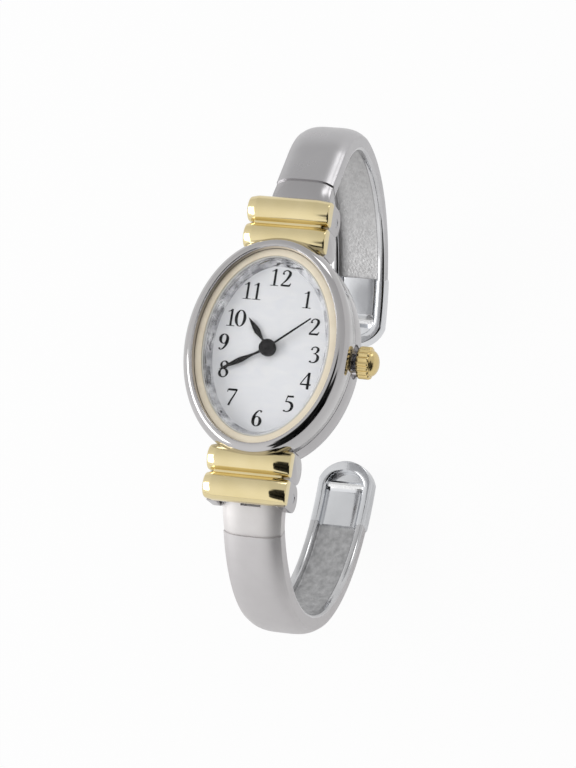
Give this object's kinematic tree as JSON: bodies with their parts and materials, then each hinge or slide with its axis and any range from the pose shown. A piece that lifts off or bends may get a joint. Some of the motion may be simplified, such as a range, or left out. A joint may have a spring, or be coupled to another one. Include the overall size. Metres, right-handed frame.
{
  "type": "cuff watch",
  "caption": "Small oval cuff watch with a white dial, gold ribbed lugs, a fluted crown and sprung silver bangle arms that open at the back.",
  "frame": {"origin": "centre of the case back's outer flat, on the hands' axis", "axes": "+Z out of the dial, +Y towards 12 o'clock, +X towards 3 o'clock and the crown"},
  "size_m": [0.0219, 0.0594, 0.0468],
  "materials": {
    "silver_metal": "polished rhodium-look plate over cast alloy",
    "satin_steel": "satin stainless steel",
    "steel": "bright steel",
    "yellow_gold": "polished yellow gold plate",
    "champagne_gold": "satin champagne gold plate",
    "rehaut_metal": "mirror-bright sloping ring",
    "brass": "satin",
    "copper": "enamelled copper wire",
    "clear_glass": "clear mineral glass",
    "pearl_dial": "white mother-of-pearl",
    "black_hand": "gloss black",
    "black_rubber": "matte",
    "white_nylon": "matte",
    "white_plastic": "matte",
    "green_board": "satin"
  },
  "bodies": {
    "watch_head": {"case": "silver_metal", "case_back": "satin_steel", "back_gasket": "black_rubber", "bezel": "silver_metal", "inlay_ring": "champagne_gold", "crystal": "clear_glass", "crystal_gasket": "white_nylon", "rehaut": "rehaut_metal", "dial": "pearl_dial", "lug_cover_12": "yellow_gold", "lug_cover_6": "yellow_gold", "hinge_pin_12": "steel", "hinge_pin_6": "steel", "hinge_spring_12": "steel", "hinge_spring_6": "steel", "crown_tube": "steel", "movement_holder": "white_plastic", "main_plate": "brass", "train_bridge": "brass", "bridge_screws": "steel", "circuit_board": "green_board", "quartz_can": "steel", "coil_core": "steel", "coil_winding": "copper", "stator": "steel", "battery": "satin_steel", "battery_clamp": "steel"},
    "upper_arm": {"collar_12": "silver_metal", "arm_12": "silver_metal", "end_cap_12": "silver_metal"},
    "lower_arm": {"collar_6": "silver_metal", "arm_6": "silver_metal", "end_cap_6": "silver_metal"},
    "setting_pinion": {"setting_pinion": "steel"},
    "crown": {"crown": "yellow_gold", "crown_gasket": "black_rubber", "stem": "steel"},
    "rotor": {"rotor": "steel"},
    "step_wheel": {"step_wheel": "brass"},
    "seconds": {"seconds_wheel": "brass", "seconds_hand": "black_hand"},
    "third_wheel": {"third_wheel": "brass"},
    "centre_wheel": {"centre_wheel": "brass"},
    "minutes": {"cannon_pinion": "brass", "minute_hand": "black_hand"},
    "minute_wheel": {"minute_wheel": "brass"},
    "hours": {"hour_wheel": "brass", "hour_hand": "black_hand"}
  },
  "joints": [
    {"name": "upper_arm_hinge", "type": "hinge", "parent": "watch_head", "child": "upper_arm", "pos_m": [0, 0.0162, 0.0022], "axis": [1, 0, 0], "range_deg": [0, 20], "stiffness_Nm_per_rad": 0.12, "springref_deg": -20.05},
    {"name": "lower_arm_hinge", "type": "hinge", "parent": "watch_head", "child": "lower_arm", "pos_m": [0, -0.0162, 0.0022], "axis": [-1, 0, 0], "range_deg": [0, 20], "stiffness_Nm_per_rad": 0.12, "springref_deg": -20.05},
    {"name": "crown_turn", "type": "hinge", "parent": "watch_head", "child": "setting_pinion", "pos_m": [0.0045, 0, 0.0029], "axis": [1, 0, 0], "continuous": true},
    {"name": "crown_pull", "type": "slide", "parent": "setting_pinion", "child": "crown", "axis": [1, 0, 0], "range_m": [-0.0008, 0]},
    {"name": "minute_wheel_turn", "type": "hinge", "parent": "watch_head", "child": "minute_wheel", "pos_m": [0.0024, 0, 0.0043], "axis": [0, 0, 1], "continuous": true},
    {"name": "minute_hand_turn", "type": "hinge", "parent": "watch_head", "child": "minutes", "pos_m": [0, 0, 0.0045], "axis": [0, 0, 1], "continuous": true},
    {"name": "hour_hand_turn", "type": "hinge", "parent": "watch_head", "child": "hours", "pos_m": [0, 0, 0.0046], "axis": [0, 0, 1], "continuous": true},
    {"name": "rotor_turn", "type": "hinge", "parent": "watch_head", "child": "rotor", "pos_m": [0.0012, 0.00376, 0.003], "axis": [0, 0, 1], "continuous": true},
    {"name": "step_wheel_turn", "type": "hinge", "parent": "watch_head", "child": "step_wheel", "pos_m": [0.0012, 0.00208, 0.003], "axis": [0, 0, 1], "continuous": true},
    {"name": "seconds_hand_turn", "type": "hinge", "parent": "watch_head", "child": "seconds", "pos_m": [0, 0, 0.003], "axis": [0, 0, 1], "continuous": true},
    {"name": "third_wheel_turn", "type": "hinge", "parent": "watch_head", "child": "third_wheel", "pos_m": [-0.00234, 0.00041, 0.003], "axis": [0, 0, 1], "continuous": true},
    {"name": "centre_wheel_turn", "type": "hinge", "parent": "watch_head", "child": "centre_wheel", "pos_m": [0, 0, 0.0033], "axis": [0, 0, 1], "continuous": true}
  ],
  "couplings": [
    {"joint": "minute_wheel_turn", "follows": "crown_turn", "ratio": -0.77778},
    {"joint": "minute_hand_turn", "follows": "crown_turn", "ratio": 2.3333},
    {"joint": "hour_hand_turn", "follows": "crown_turn", "ratio": 0.19444},
    {"joint": "rotor_turn", "follows": "seconds_hand_turn", "ratio": 30},
    {"joint": "step_wheel_turn", "follows": "seconds_hand_turn", "ratio": -5},
    {"joint": "third_wheel_turn", "follows": "seconds_hand_turn", "ratio": -0.13333},
    {"joint": "centre_wheel_turn", "follows": "seconds_hand_turn", "ratio": 0.016667}
  ]
}
